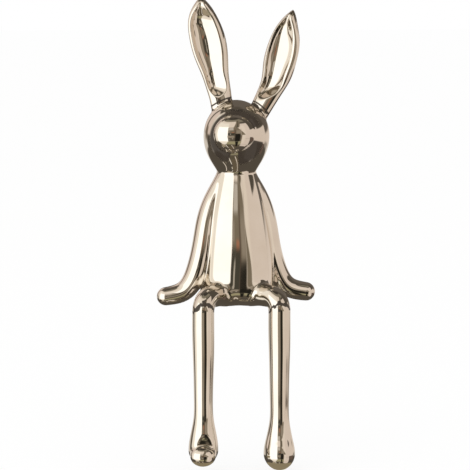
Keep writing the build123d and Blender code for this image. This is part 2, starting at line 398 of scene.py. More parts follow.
class RabbitGlazeLook(bpy.types.PropertyGroup):
    """Colours and polish of the plated glaze, and of the painted shade in its creases"""

    plate: colour("Plate", (0.80, 0.75, 0.68), "Main colour of the plating")
    thin_plate: colour("Thin Plate", (0.74, 0.68, 0.60), "Colour where it lies thinner")
    # Dark brown painted shade, laid into the creases round the muzzle, at the ears' roots
    # and over the shins
    bare_glaze: colour("Bare Glaze", (0.052, 0.040, 0.030), "Brown glaze bare of plating")
    polish: FloatProperty(
        name="Polish", default=0.035, min=0.0, max=1.0,
        description="Roughness of the plating where it is brightest",
    )
    # Roughness and reflection strength of that painted shade
    bare_polish: FloatProperty(
        name="Crease Shade Polish", default=0.1, min=0.0, max=1.0,
        description="Roughness of the bare glaze",
    )
    bare_shine: FloatProperty(
        name="Crease Shade Shine", default=0.25, min=0.0, max=1.0,
        description="Strength of the reflections on the bare glaze",
    )


class RabbitStageLook(bpy.types.PropertyGroup):
    """Floor, light and the room that the plating mirrors"""

    floor: colour("Floor", (0.95, 0.95, 0.945), "Colour of the floor")
    floor_gap: length("Floor Gap", 0.0006, "Floor below the lower sole")
    foot_light: colour("Foot Light", (0.30, 0.255, 0.165), "Floor's glow under the feet")
    foot_light_reach: length("Foot Light Reach", 0.0105, "Reach of that glow")
    sky: FloatProperty(
        name="Sky", default=1.0, min=0.0, soft_max=2.0,
        description="Strength of the even light from all sides",
    )
    lamp: FloatProperty(
        name="Lamp", default=1.2, min=0.0, soft_max=20.0,
        description="Power of the soft lamp in watts",
    )
    room: FloatProperty(
        name="Room", default=1.0, min=0.0, soft_max=2.0,
        description="Brightness of the mirrored room",
    )


GROUPS = {
    "rabbit_trunk": RabbitTrunkSizes,
    "rabbit_ears": RabbitEarSizes,
    "rabbit_limbs": RabbitLimbSizes,
    "rabbit_seams": RabbitSeamSizes,
    "rabbit_glaze": RabbitGlazeLook,
    "rabbit_stage": RabbitStageLook,
}


# Curves


class Curve:
    """A smooth line through points: cubics that meet with one slope and curvature.

    The parameter runs from 0 to 1 in step with the straight distances between points,
    or through the knots given. ends gives the slopes at the two ends, otherwise the
    ends are straight.
    """

    def __init__(self, points, knots=None, ends=None):
        points = np.asarray(points, float)
        if points.ndim == 1:
            points = points[:, None]
        if knots is None:
            gaps = np.linalg.norm(np.diff(points, axis=0), axis=1)
            knots = np.concatenate([[0.0], np.cumsum(gaps)]) / gaps.sum()
        self.knots = np.asarray(knots, float)
        self.points = points
        count = len(points)
        step = np.diff(self.knots)[:, None]
        rise = np.diff(points, axis=0) / step
        system = np.zeros((count, count))
        right = np.zeros_like(points)
        rows = np.arange(1, count - 1)
        system[rows, rows - 1] = step[:-1, 0]
        system[rows, rows] = 2 * (step[:-1, 0] + step[1:, 0])
        system[rows, rows + 1] = step[1:, 0]
        right[1:-1] = 6 * (rise[1:] - rise[:-1])
        system[0, 0] = system[-1, -1] = 1.0
        if ends is not None:
            first, last = np.asarray(ends, float)
            system[0, :2] = 2 * step[0, 0], step[0, 0]
            right[0] = 6 * (rise[0] - first)
            system[-1, -2:] = step[-1, 0], 2 * step[-1, 0]
            right[-1] = 6 * (last - rise[-1])
        self.bends = np.linalg.solve(system, right)

    def _span(self, at):
        at = np.clip(at, self.knots[0], self.knots[-1])
        index = np.searchsorted(self.knots, at, side="right") - 1
        index = np.clip(index, 0, len(self.knots) - 2)
        step = (self.knots[index + 1] - self.knots[index])[:, None]
        after = (at - self.knots[index])[:, None]
        return index, step, after, step - after

    def at(self, at):
        index, step, after, before = self._span(np.asarray(at, float))
        low, high = self.bends[index], self.bends[index + 1]
        return (
            low * before**3 / (6 * step)
            + high * after**3 / (6 * step)
            + (self.points[index] / step - low * step / 6) * before
            + (self.points[index + 1] / step - high * step / 6) * after
        )

    def slope(self, at):
        index, step, after, before = self._span(np.asarray(at, float))
        low, high = self.bends[index], self.bends[index + 1]
        return (
            (high * after**2 - low * before**2) / (2 * step)
            + (self.points[index + 1] - self.points[index]) / step
            - (high - low) * step / 6
        )

    def bend(self, at):
        index, step, after, before = self._span(np.asarray(at, float))
        return (self.bends[index] * before + self.bends[index + 1] * after) / step


class LegLine:
    """A straight thigh, a quarter turn over the shelf's edge and a straight drop.

    With a the distance run and b the part of the bend that is turned, the point is
    hip + forward * (run + R sin b) - up * (R (1 - cos b) + drop).
    """

    def __init__(self, hip, knee, radius, drop):
        self.hip = hip
        self.forward = (knee - hip) / np.linalg.norm(knee - hip)
        self.radius = radius
        self.run = np.linalg.norm(knee - hip) - radius
        self.turn = radius * math.pi / 2
        self.length = self.run + self.turn + drop
        self.shin_start = (self.run + self.turn) / self.length

    def _parts(self, at):
        gone = np.asarray(at, float) * self.length
        angle = np.clip((gone - self.run) / self.radius, 0.0, math.pi / 2)
        return gone, angle

    def _mix(self, forward, down):
        return forward[:, None] * self.forward - down[:, None] * np.array([0.0, 0.0, 1.0])

    def at(self, at):
        gone, angle = self._parts(at)
        forward = np.minimum(gone, self.run) + self.radius * np.sin(angle)
        down = self.radius * (1 - np.cos(angle))
        down = down + np.maximum(gone - self.run - self.turn, 0.0)
        return self.hip + self._mix(forward, down)

    def slope(self, at):
        gone, angle = self._parts(at)
        return self._mix(np.cos(angle), np.sin(angle)) * self.length

    def bend(self, at):
        gone, angle = self._parts(at)
        inside = (angle > 0) & (angle < math.pi / 2)
        share = np.where(inside, self.length**2 / self.radius, 0.0)
        return self._mix(-np.sin(angle) * share, np.cos(angle) * share)


# Forms: each gives the distance of points from its surface, negative inside


def distance_near(form, points):
    """A form's distance where it matters: farther off, that from its box will do."""
    low, high = form.box
    away = np.maximum(np.maximum(low - points, points - high), 0.0)
    distance = np.linalg.norm(away, axis=1)
    near = distance < NEAR
    if near.any():
        distance[near] = form.distance(points[near])
    return distance


def smooth_min(first, second, width):
    """The lesser of two distances, with the crease between them filled.

    Where they differ by less than width, (width - difference)^3 / (6 width^2) is taken
    off, so slope and curvature run on through the seam.
    """
    near = np.maximum(width - np.abs(first - second), 0.0) / width
    return np.minimum(first, second) - near**3 * width / 6


class Turned:
    """A form turned about Z.

    Seen from a point on the axis, the outline has one radius for each angle. The
    distance is the difference of the radii times the cosine of the outline's slope.
    """

    def __init__(self, outline, middle):
        self.middle = middle
        out, up = outline[:, 0], outline[:, 1] - middle
        angle = np.arctan2(out, up)
        new = np.concatenate([[True], np.diff(angle) > LEAST_TURN])
        self.angle, self.radius = angle[new], np.hypot(out, up)[new]
        slope = np.gradient(self.radius, self.angle) / self.radius
        self.cosine = 1 / np.hypot(1.0, slope)
        reach, low, high = out.max(), outline[:, 1].min(), outline[:, 1].max()
        self.box = (-reach, -reach, low), (reach, reach, high)

    def distance(self, points):
        out = np.hypot(points[:, 0], points[:, 1])
        up = points[:, 2] - self.middle
        angle = np.arctan2(out, up)
        radius = np.interp(angle, self.angle, self.radius)
        return (np.hypot(out, up) - radius) * np.interp(angle, self.angle, self.cosine)


def round_distance(seen, radii):
    """Distance from an ellipse or ellipsoid with its axes along those of the points.

    With p the point and r the radii it is |p/r| (|p/r| - 1) / |p/r^2|.
    """
    size = np.linalg.norm(seen / radii, axis=1)
    pull = np.maximum(np.linalg.norm(seen / radii**2, axis=1), LEAST)
    return size * (size - 1) / pull


class Ball:
    """A ball, or one flattened along X, Y or Z by its three radii."""

    def __init__(self, centre, radii):
        self.centre = centre
        self.radii = np.broadcast_to(np.asarray(radii, float), 3)
        self.box = centre - self.radii, centre + self.radii

    def distance(self, points):
        return round_distance(points - self.centre, self.radii)


class Tube:
    """An elliptical tube along a line, with rounded ends.

    The nearest place on the line comes from evenly spaced samples and Newton steps on
    (point - line) . slope = 0. The distance is that of the ellipsoid there.
    """

    def __init__(self, line, radii, side, cap):
        self.line, self.radii, self.side, self.cap = line, radii, side, cap
        self.samples = np.linspace(0.0, 1.0, TUBE_SAMPLES)
        self.marks = line.at(self.samples)
        reach = max(cap, np.max(radii(self.samples)))
        self.box = self.marks.min(0) - reach, self.marks.max(0) + reach

    def frames(self, at):
        ahead = self.line.slope(at)
        ahead /= np.linalg.norm(ahead, axis=1)[:, None]
        broad = self.side - (ahead @ self.side)[:, None] * ahead
        broad /= np.linalg.norm(broad, axis=1)[:, None]
        return ahead, broad, np.cross(ahead, broad)

    def nearest(self, points):
        spread = (self.marks**2).sum(1) - 2 * points @ self.marks.T
        at = self.samples[spread.argmin(1)]
        for _ in range(TUBE_ROUNDS):
            gap = points - self.line.at(at)
            slope = self.line.slope(at)
            steep = (slope**2).sum(1)
            stiffness = steep - (gap * self.line.bend(at)).sum(1)
            step = (gap * slope).sum(1) / np.maximum(stiffness, TUBE_STIFFNESS * steep)
            at = np.clip(at + np.clip(step, -TUBE_STEP, TUBE_STEP), 0.0, 1.0)
        return at

    def distance(self, points):
        at = self.nearest(points)
        gap = points - self.line.at(at)
        ahead, broad, thick = self.frames(at)
        breadth, thickness = self.radii(at)
        seen = np.stack([(gap * axis).sum(1) for axis in (broad, thick, ahead)], 1)
        radii = np.stack([breadth, thickness, np.full_like(breadth, self.cap)], 1)
        return round_distance(seen, radii)


class Leg:
    """A leg's tube, less a dip over the instep, with the toes' ball melted into it."""

    def __init__(self, tube, toes, melt, dip=None, rim=0.0):
        self.tube, self.toes, self.melt = tube, toes, melt
        self.dip, self.rim = dip, rim
        self.box = tuple(
            pick([mine, theirs], axis=0)
            for pick, mine, theirs in zip((np.min, np.max), tube.box, toes.box)
        )

    def distance(self, points):
        foot = self.tube.distance(points)
        if self.dip is not None:
            foot = -smooth_min(-foot, self.dip.distance(points), self.rim)
        return smooth_min(foot, self.toes.distance(points), self.melt)


class Blade:
    """An ear: level ellipses up a leaning line, less the ellipses of its hollow.

    In each level slice the distance is the greater of the leaf's distance and the
    hollow's distance with its sign turned, rounded where the two are alike.
    """

    def __init__(self, root, rise, lean, half_width, turn, aside, slices, ears):
        slices = np.asarray(slices)
        shares = slices[:, 0]
        self.root, self.rise, self.aside, self.ears = root, rise, aside, ears
        self.across = np.array([math.cos(turn), math.sin(turn)])
        edge = half_width * slices[:, 2]
        depth = np.minimum(ears.half_depth, edge)
        values = np.stack([
            root[0] + lean * slices[:, 1],
            root[1] + ears.lean_back * shares,
            edge,
            depth,
            ears.hollow_depth * slices[:, 3] - depth,
        ], 1)
        self.line = Curve(values, knots=shares)
        east, north, edge = values[:, 0], values[:, 1], edge.max()
        self.box = (
            (east.min() - edge, north.min() - edge, root[2]),
            (east.max() + edge, north.max() + edge, root[2] + rise),
        )

    def slice_at(self, share):
        """Middle, half width, half depth and hollow floor of the slices."""
        values = self.line.at(share)
        edge = np.maximum(values[:, 2], TINY)
        depth = np.clip(values[:, 3], TINY, edge)
        return values[:, 0], values[:, 1], edge, depth, values[:, 4]

    def pushed(self, across, inner):
        """Moves the hollow's deepest line aside and leaves its two edges in place.

        A place a share x of the half width from the middle moves by 1 - x squared.
        """
        share = np.clip(across / inner, -1.0, 1.0)
        aside = np.minimum(np.abs(self.aside), ASIDE_SHARE * inner) * np.sign(self.aside)
        return across - aside * (1 - share**2)

    def distance(self, points):
        share = (points[:, 2] - self.root[2]) / self.rise
        east, north, edge, depth, floor = self.slice_at(np.clip(share, 0.0, 1.0))
        east, north = points[:, 0] - east, points[:, 1] - north
        across = east * self.across[0] + north * self.across[1]
        deep = north * self.across[0] - east * self.across[1]
        bowl = self.ears.hollow_round
        leaf = round_distance(np.stack([across, deep], 1), np.stack([edge, depth], 1))
        inner = np.maximum(edge - self.ears.rim, TINY)
        hollow = round_distance(
            np.stack([self.pushed(across, inner), deep - floor + bowl], 1),
            np.stack([inner, 0 * edge + bowl], 1),
        )
        solid = -smooth_min(-leaf, hollow, self.ears.rim_round)
        above = np.maximum(share - 1, 0.0) * self.rise
        return np.where(above > 0, np.hypot(np.maximum(solid, 0.0), above), solid)


# The figure


def bell_outline(trunk):
    """From the pour hole's rim out along the underside, round the hem and up the side."""
    rise = trunk.neck_height - trunk.hem_round
    flare = trunk.hem_radius - trunk.neck_radius
    side = Curve(
        [(trunk.hem_radius, trunk.hem_round)]
        + [
            (trunk.neck_radius + flare * out, trunk.hem_round + rise * up)
            for up, out in BELL_SHARES
        ]
        + [(trunk.neck_radius, trunk.neck_height)]
    )
    turn = np.linspace(-math.pi / 2, 0.0, HEM_COUNT)
    flat = trunk.hem_radius - trunk.hem_round
    hem = np.stack([
        flat + trunk.hem_round * np.cos(turn),
        trunk.hem_round + trunk.hem_round * np.sin(turn),
    ], 1)
    return hem, side.at(np.linspace(0.0, 1.0, SIDE_COUNT))


def head_outline(trunk):
    """From the neck up the cheek to the crown, through the slices' radii.

    It leaves the neck two up for one out and meets the crown level.
    """
    points = [(trunk.neck_radius, trunk.neck_height)]
    points += [
        (trunk.head_radius * out, trunk.neck_height + trunk.head_height * up)
        for up, out in HEAD_SHARES
    ]
    points.append((0.0, trunk.neck_height + trunk.head_height))
    run = np.linalg.norm(np.diff(points, axis=0), axis=1).sum()
    first = np.array([1.0, 2.0]) / math.sqrt(5.0) * run
    last = np.array([-1.0, 0.0]) * run
    return Curve(points, ends=(first, last)).at(np.linspace(0.0, 1.0, SIDE_COUNT))


def along(start, end, count):
    """Evenly spaced points of a straight stretch, without its last point."""
    share = np.linspace(0.0, 1.0, count, endpoint=False)[:, None]
    return np.asarray(start) * (1 - share) + np.asarray(end) * share


class Figure:
    """The rabbit's forms, and the one skin that the glaze makes of them."""

    def __init__(self, scene):
        self.trunk = scene.rabbit_trunk
        self.ears = scene.rabbit_ears
        self.limbs = scene.rabbit_limbs
        self.seams = scene.rabbit_seams
        trunk = self.trunk
        hem, side = bell_outline(trunk)
        head = head_outline(trunk)
        top = side[-1]
        neck = (0.0, trunk.neck_height)
        closed_bell = np.concatenate([
            along(neck, top, CLOSING_COUNT)[1:] + (LEAST, 0.0),
            side[::-1],
            hem[::-1],
            along(hem[0], (0.0, 0.0), CLOSING_COUNT),
        ])
        closed_head = np.concatenate([
            head[::-1], along(head[0], neck, CLOSING_COUNT)[1:]
        ])
        muzzle_centre = np.array([
            trunk.muzzle_aside,
            trunk.muzzle_sink - trunk.head_radius,
            trunk.neck_height + trunk.head_height * trunk.muzzle_height_share,
        ])
        self.head_middle = trunk.neck_height + HEAD_MIDDLE_SHARE * trunk.head_height
        self.forms = {
            "body": Turned(closed_bell, BELL_MIDDLE_SHARE * trunk.neck_height),
            "head": Turned(closed_head, self.head_middle),
            "muzzle": Ball(muzzle_centre, (
                trunk.muzzle_half_width, trunk.muzzle_half_depth,
                trunk.muzzle_half_height,
            )),
        }
        for name, side in (("left", 1), ("right", -1)):
            self.forms[name + "_ear"] = self.ear(name)
            self.forms[name + "_arm"] = self.arm(name, side)
            self.forms[name + "_leg"] = self.leg(name, side)

    def ear(self, name):
        """An ear's blade, rooted at its shares of the head's radius and height."""
        trunk, ears = self.trunk, self.ears
        root = (
            trunk.head_radius * EAR_ROOT_OUT_SHARE[name],
            ears.set_back,
            trunk.neck_height + trunk.head_height * EAR_ROOT_HEIGHT_SHARE,
        )
        own = (
            getattr(ears, f"{name}_{size}")
            for size in ("rise", "lean", "half_width", "turn", "aside")
        )
        return Blade(root, *own, EAR_SHARES[name], ears)

    def arm(self, name, side):
        """An arm's tube, along shoulder + shares * (fingers - shoulder)."""
        limbs, trunk = self.limbs, self.trunk
        shoulder = np.array([
            side * (trunk.neck_radius - limbs.shoulder_sink),
            0.0,
            trunk.neck_height - limbs.shoulder_drop,
        ])
        fingers = np.array([
            side * (limbs.hand_reach - limbs.finger_radius),
            getattr(limbs, name + "_hand_back"),
            limbs.finger_radius - limbs.finger_dip,
        ])
        shares = np.asarray(ARM_LINE_SHARES)[:, [1, 2, 0]]
        line = Curve(shoulder + (fingers - shoulder) * shares)
        thick = [limbs.arm_half_thickness * share for share, _ in ARM_SHARES]
        broad = [limbs.arm_half_breadth * share for _, share in ARM_SHARES]
        tip = limbs.finger_radius
        radii = Curve(
            np.stack([broad + [tip], thick + [tip]], 1),
            knots=np.linspace(0.0, 1.0, len(ARM_SHARES) + 1),
        )
        return Tube(line, lambda at: radii.at(at).T, np.array([0.0, 1.0, 0.0]), tip)

    def leg(self, name, side):
        """A leg with its toes, its sole drawn up by what the toes' melt adds below."""
        limbs = self.limbs
        knee_out, sole_drop, toe_radii, toe_aside, toe_front = (
            getattr(limbs, f"{name}_{size}")
            for size in ("knee_out", "sole_drop", "toe_radii", "toe_aside", "toe_front")
        )
        melt = getattr(self.seams, name + "_toe")
        sole_drop = sole_drop - melt / 6
        height = limbs.thigh_radius + limbs.thigh_lift
        hip = np.array([side * limbs.hip_out, -limbs.hip_forward, height])
        knee = np.array([side * knee_out, -limbs.knee_forward, height])
        drop = height - limbs.knee_bend - (limbs.foot_radius - sole_drop)
        line = LegLine(hip, knee, limbs.knee_bend, drop)
        shin = Curve(
            [
                limbs.thigh_radius, limbs.calf_radius,
                limbs.ankle_radius, limbs.foot_radius,
            ],
            knots=[0.0, CALF_SHARE, ANKLE_SHARE, 1.0],
            ends=([0.0], [0.0]),
        )
        start = line.shin_start

        def radii(at):
            share = np.clip((at - start) / (1 - start), 0.0, 1.0)
            radius = shin.at(share)[:, 0]
            return radius, radius

        across = np.cross(line.forward, [0.0, 0.0, 1.0])
        tube = Tube(line, radii, across, limbs.foot_radius)
        deep, tall = toe_radii[1:]
        toes = Ball(
            np.array([knee[0] + toe_aside, knee[1] - toe_front + deep, tall - sole_drop]),
            toe_radii,
        )
        if name == "left":
            return Leg(tube, toes, melt)
        front = limbs.dip_floor + limbs.dip_radii[1]
        dip = Ball(
            np.array([knee[0], knee[1] - front, limbs.dip_height - sole_drop]),
            limbs.dip_radii,
        )
        return Leg(tube, toes, melt, dip, self.seams.dip)

    def wave(self, points):
        """Slow hollows of the hand finish: crossing sines, less their peaks."""
        turns = points * (2 * math.pi / self.seams.wave_length)
        return self.seams.wave * sum(
            strength * (np.sin(turns @ way + start) - 1) for strength, way, start in WAVES
        )

    def level(self, piece, points, reach):
        """The skin's level for one piece: zero on the skin that all the forms share.

        Past the seam, by more than reach, the level falls behind that of the
        neighbour, so the piece dives under the neighbour's skin.
        """
        names = (piece, *NEIGHBOURS[piece])
        found = {name: distance_near(self.forms[name], points) for name in names}
        seams = self.seams

        def melted(base, luted):
            """The base's distance, melted into those of the pieces luted on."""
            skin = found.get(base, np.full(len(points), FAR))
            for name, width in luted:
                if name in found:
                    skin = smooth_min(skin, found[name], width)
            return skin

        trunk = melted("body", [
            ("left_arm", seams.arm), ("right_arm", seams.arm),
            ("left_leg", seams.leg), ("right_leg", seams.leg),
        ])
        top = melted("head", [
            ("muzzle", seams.muzzle), ("left_ear", seams.ear), ("right_ear", seams.ear),
        ])
        skin = smooth_min(trunk, top, seams.neck) - self.wave(points)
        others = np.minimum.reduce([found[name] for name in NEIGHBOURS[piece]])
        return skin + np.maximum(found[piece] - others - reach, 0.0)

    def slope(self, piece, points, reach):
        """Rise of the level along X, Y and Z, from points a nudge either side."""
        return np.stack([
            self.level(piece, points + shift, reach)
            - self.level(piece, points - shift, reach)
            for shift in NUDGES
        ], 1) / (2 * NUDGE)

    def settle(self, piece, points):
        """Moves points along the level's slope until they lie on the skin."""
        points = points.copy()
        reach = self.seams.overlap
        for _ in range(SETTLE_ROUNDS):
            level = self.level(piece, points, reach)
            slope = np.stack([
                self.level(piece, points + shift, reach) - level for shift in NUDGES
            ], 1) / NUDGE
            size = np.maximum((slope**2).sum(1), LEAST_SLOPE)
            step = np.clip(level / size, -SETTLE_STEP, SETTLE_STEP)
            points -= step[:, None] * slope
        normals = self.slope(piece, points, NORMALS_REACH * reach)
        normals /= np.maximum(np.linalg.norm(normals, axis=1), LEAST)[:, None]
        return points, normals


# Grids


def evenly(points, count):
    """Points at equal distances along a dense line."""
    gaps = np.linalg.norm(np.diff(points, axis=0), axis=1)
    gone = np.concatenate([[0.0], np.cumsum(gaps)])
    at = np.linspace(0.0, gone[-1], count)
    return np.stack([np.interp(at, gone, values) for values in points.T], 1)


def turned_grid(outline, columns):
    """Rings about Z: (r, z) becomes (r cos a, r sin a, z) for a all the way round."""
    angle = np.linspace(0.0, 2 * math.pi, columns, endpoint=False)
    out, up = outline[:, :1], outline[:, 1:]
    return np.stack([
        out * np.cos(angle), out * np.sin(angle), up + 0 * angle
    ], -1)


def tube_grid(tube, rows, columns, cap_rows):
    """Rings along a tube's line, with half an ellipsoid of rings at each end.

    Ring a has the points line(t) + broad * b cos a + thick * c sin a, and the end's
    rings shrink by cos e while they move on by cap * sin e.
    """
    lift = np.linspace(0.0, math.pi / 2, cap_rows + 1)[1:-1]
    at = np.concatenate([
        np.zeros(len(lift)), np.linspace(0.0, 1.0, rows), np.ones(len(lift))
    ])
    rise = np.concatenate([-lift[::-1], np.zeros(rows), lift])
    angle = np.linspace(0.0, 2 * math.pi, columns, endpoint=False)
    ahead, broad, thick = (axis[:, None] for axis in tube.frames(at))
    breadth, thickness = (radius[:, None, None] for radius in tube.radii(at))
    shrink = np.cos(rise)[:, None, None]
    middle = tube.line.at(at)[:, None] + ahead * (tube.cap * np.sin(rise))[:, None, None]
    rings = (
        middle
        + broad * breadth * shrink * np.cos(angle)[:, None]
        + thick * thickness * shrink * np.sin(angle)[:, None]
    )
    first = middle[0, 0] - ahead[0, 0] * tube.cap * (1 - math.cos(lift[0]))
    last = middle[-1, 0] + ahead[-1, 0] * tube.cap * (1 - math.sin(lift[-1]))
    return rings, first, last


def skin_mesh(name, rings, first, last, normals):
    """A closed mesh from rings of points and a pole at each end, with its own normals."""
    rows, columns = rings.shape[:2]
    points = np.concatenate([[first], rings.reshape(-1, 3), [last]])
    ring = np.arange(rows * columns).reshape(rows, columns) + 1
    after = np.roll(ring, -1, axis=1)
    quads = np.stack([ring[:-1], after[:-1], after[1:], ring[1:]], -1).reshape(-1, 4)
    end = len(points) - 1
    start_fan = np.stack([np.zeros(columns, int), after[0], ring[0]], 1)
    end_fan = np.stack([ring[-1], after[-1], np.full(columns, end)], 1)
    corners = points[quads]
    cross = np.cross(corners[:, 2] - corners[:, 0], corners[:, 3] - corners[:, 1])
    volume = (cross * (corners.mean(1) - points.mean(0))).sum()
    faces = quads.tolist() + start_fan.tolist() + end_fan.tolist()
    if volume < 0:
        faces = [face[::-1] for face in faces]
    mesh = bpy.data.meshes.new(name)
    mesh.from_pydata(points.tolist(), [], faces)
    mesh.polygons.foreach_set("use_smooth", np.ones(len(faces), bool))
    mesh.update()
    if normals is not None:
        mesh.normals_split_custom_set_from_vertices(normals.tolist())
    piece = bpy.data.objects.new(name, mesh)
    bpy.context.scene.collection.objects.link(piece)
    return piece


def clothe(figure, form, name, rings, first, last, fixed_rows=0, flat=False, finish=None):
    """Settles a grid on the figure's skin and makes it the piece that shows.

    The first fixed_rows rings stay where they are. A flat piece is kept above the
    shelf, which is Z = 0.
    """
    shape = rings.shape
    moved = rings[fixed_rows:].reshape(-1, 3)
    moved, turned = figure.settle(form, moved)
    ends = np.array([first, last])
    settled, end_normals = figure.settle(form, ends)
    if fixed_rows:
        settled[0], end_normals[0] = ends[0], 0.0
    if flat:
        for points, normals in ((moved, turned), (settled, end_normals)):
            under = points[:, 2] < 0
            points[under, 2] = 0.0
            normals[under] = (0.0, 0.0, -1.0)
    kept = rings[:fixed_rows].reshape(-1, 3)
    grid = np.concatenate([kept, moved]).reshape(shape)
    normals = np.concatenate([
        end_normals[:1], np.zeros_like(kept), turned, end_normals[1:]
    ])
    piece = skin_mesh(name, grid, settled[0], settled[1], normals)
    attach(piece, "root")
    piece.data.materials.append(finish or plated_glaze(bpy.context.scene.rabbit_glaze))
    return piece


# Finishes


def put_in(node, links, place, value):
    """Links a socket into a node's input, or sets the input to a plain value."""
    if isinstance(value, bpy.types.NodeSocket):
        links.new(value, node.inputs[place])
    else:
        node.inputs[place].default_value = value


def new_material(name):
    """An empty node material with its nodes, its links and its surface socket."""
    material = bpy.data.materials.new(name)
    material.use_nodes = True
    nodes, links = material.node_tree.nodes, material.node_tree.links
    nodes.clear()
    output = nodes.new("ShaderNodeOutputMaterial")
    return material, nodes, links, output.inputs["Surface"]


def vector_maths(nodes, links, operation, *values):
    node = nodes.new("ShaderNodeVectorMath")
    node.operation = operation
    for place, value in enumerate(values):
        put_in(node, links, place, value)
    plain = operation in ("DOT_PRODUCT", "LENGTH", "DISTANCE")
    return node.outputs["Value" if plain else "Vector"]


def maths(nodes, links, operation, *values):
    node = nodes.new("ShaderNodeMath")
    node.operation = operation
    for place, value in enumerate(values):
        put_in(node, links, place, value)
    return node.outputs["Value"]


def soft_step(nodes, links, value, start, end):
    """Nothing up to the start and one from the end on, with a smooth rise between."""
    node = nodes.new("ShaderNodeMapRange")
    node.interpolation_type = "SMOOTHSTEP"
    node.inputs["From Min"].default_value = start
    node.inputs["From Max"].default_value = end
    links.new(value, node.inputs["Value"])
    return node.outputs["Result"]


def noise(nodes, links, place, scale, detail):
    """A cloudy value from nothing to one."""
    node = nodes.new("ShaderNodeTexNoise")
    node.inputs["Scale"].default_value = scale
    node.inputs["Detail"].default_value = detail
    links.new(place, node.inputs["Vector"])
    return node.outputs["Fac"]


def two_tones(nodes, links, share, dark, light, start=0.0, end=1.0):
    """The dark tone up to the start of the share and the light one from its end on."""
    ramp = nodes.new("ShaderNodeValToRGB")
    for stop, tone, at in zip(ramp.color_ramp.elements, (dark, light), (start, end)):
        stop.color = (*tone, 1.0)
        stop.position = at
    links.new(share, ramp.inputs["Fac"])
    return ramp.outputs["Color"]


def muzzle_crease_shade(nodes, links, place, middle, reach):
    """Share of painted shade: one in the crease round the muzzle, nothing outside it or in
    its wedges.

    In the photograph's view the crease is a round patch about the middle, on the front
    half of the head, less wedges for the left cheek and the chin.
    """
    centred = vector_maths(nodes, links, "SUBTRACT", place, middle)
    flat = nodes.new("ShaderNodeCombineXYZ")
    for name, way in (("X", CREASE_RIGHT), ("Y", CREASE_UP)):
        seen = vector_maths(nodes, links, "DOT_PRODUCT", centred, way)
        links.new(seen, flat.inputs[name])
    size = vector_maths(nodes, links, "LENGTH", flat.outputs["Vector"])
    unit = vector_maths(nodes, links, "NORMALIZE", flat.outputs["Vector"])
    back = vector_maths(nodes, links, "DOT_PRODUCT", place, (0.0, 1.0, 0.0))
    share = soft_step(
        nodes, links, size, (1 + CREASE_EDGE) * reach, (1 - CREASE_EDGE) * reach
    )
    edges = [(back, *CREASE_BACK)]
    for aim, start, end in CREASE_WEDGES:
        edges.append((vector_maths(nodes, links, "DOT_PRODUCT", unit, aim), start, end))
    for value, start, end in edges:
        kept = soft_step(nodes, links, value, start, end)
        share = maths(nodes, links, "MULTIPLY", share, kept)
    return share


def ear_root_shade(nodes, links, place, middle, reach):
    """Patches of painted shade in the luting round an ear's root, within reach of the
    head's middle.
    """
    away = vector_maths(nodes, links, "DISTANCE", place, middle)
    near = soft_step(nodes, links, away, reach + EAR_ROOT_EDGE, reach - EAR_ROOT_EDGE)
    rim = soft_step(nodes, links, away, *(reach - inside for inside in EAR_ROOT_RIM))
    mottle = noise(nodes, links, place, *FOLD_NOISE)
    patches = soft_step(nodes, links, mottle, *EAR_ROOT_PATCHES)
    either = maths(nodes, links, "MAXIMUM", rim, patches)
    return maths(nodes, links, "MULTIPLY", near, either)


def knee_crease_shade(nodes, links, place, knee_out):
    """A thin ragged arch of painted shade over each shin, where it comes out from under
    its knee.

    With u the distance beside the knee, it lies at its top's height less its fall times
    u squared, give or take a noise.
    """
    split = nodes.new("ShaderNodeSeparateXYZ")
    links.new(place, split.inputs["Vector"])
    side = maths(nodes, links, "ABSOLUTE", split.outputs["X"])
    beside = maths(nodes, links, "SUBTRACT", side, knee_out)
    drop = maths(nodes, links, "MULTIPLY", beside, beside)
    drop = maths(nodes, links, "MULTIPLY", drop, KNEE_CREASE_FALL)
    level = maths(nodes, links, "SUBTRACT", split.outputs["Z"], KNEE_CREASE_HEIGHT)
    level = maths(nodes, links, "ADD", level, drop)
    fold = noise(nodes, links, place, *FOLD_NOISE)
    ripple = maths(nodes, links, "SUBTRACT", fold, NOISE_MIDDLE)
    ripple = maths(nodes, links, "MULTIPLY", ripple, KNEE_CREASE_STRAY)
    off = maths(nodes, links, "ABSOLUTE", maths(nodes, links, "ADD", level, ripple))
    band = soft_step(nodes, links, off, *KNEE_CREASE_EDGE)
    front = soft_step(nodes, links, split.outputs["Y"], *KNEE_CREASE_FRONT)
    return maths(nodes, links, "MULTIPLY", band, front)


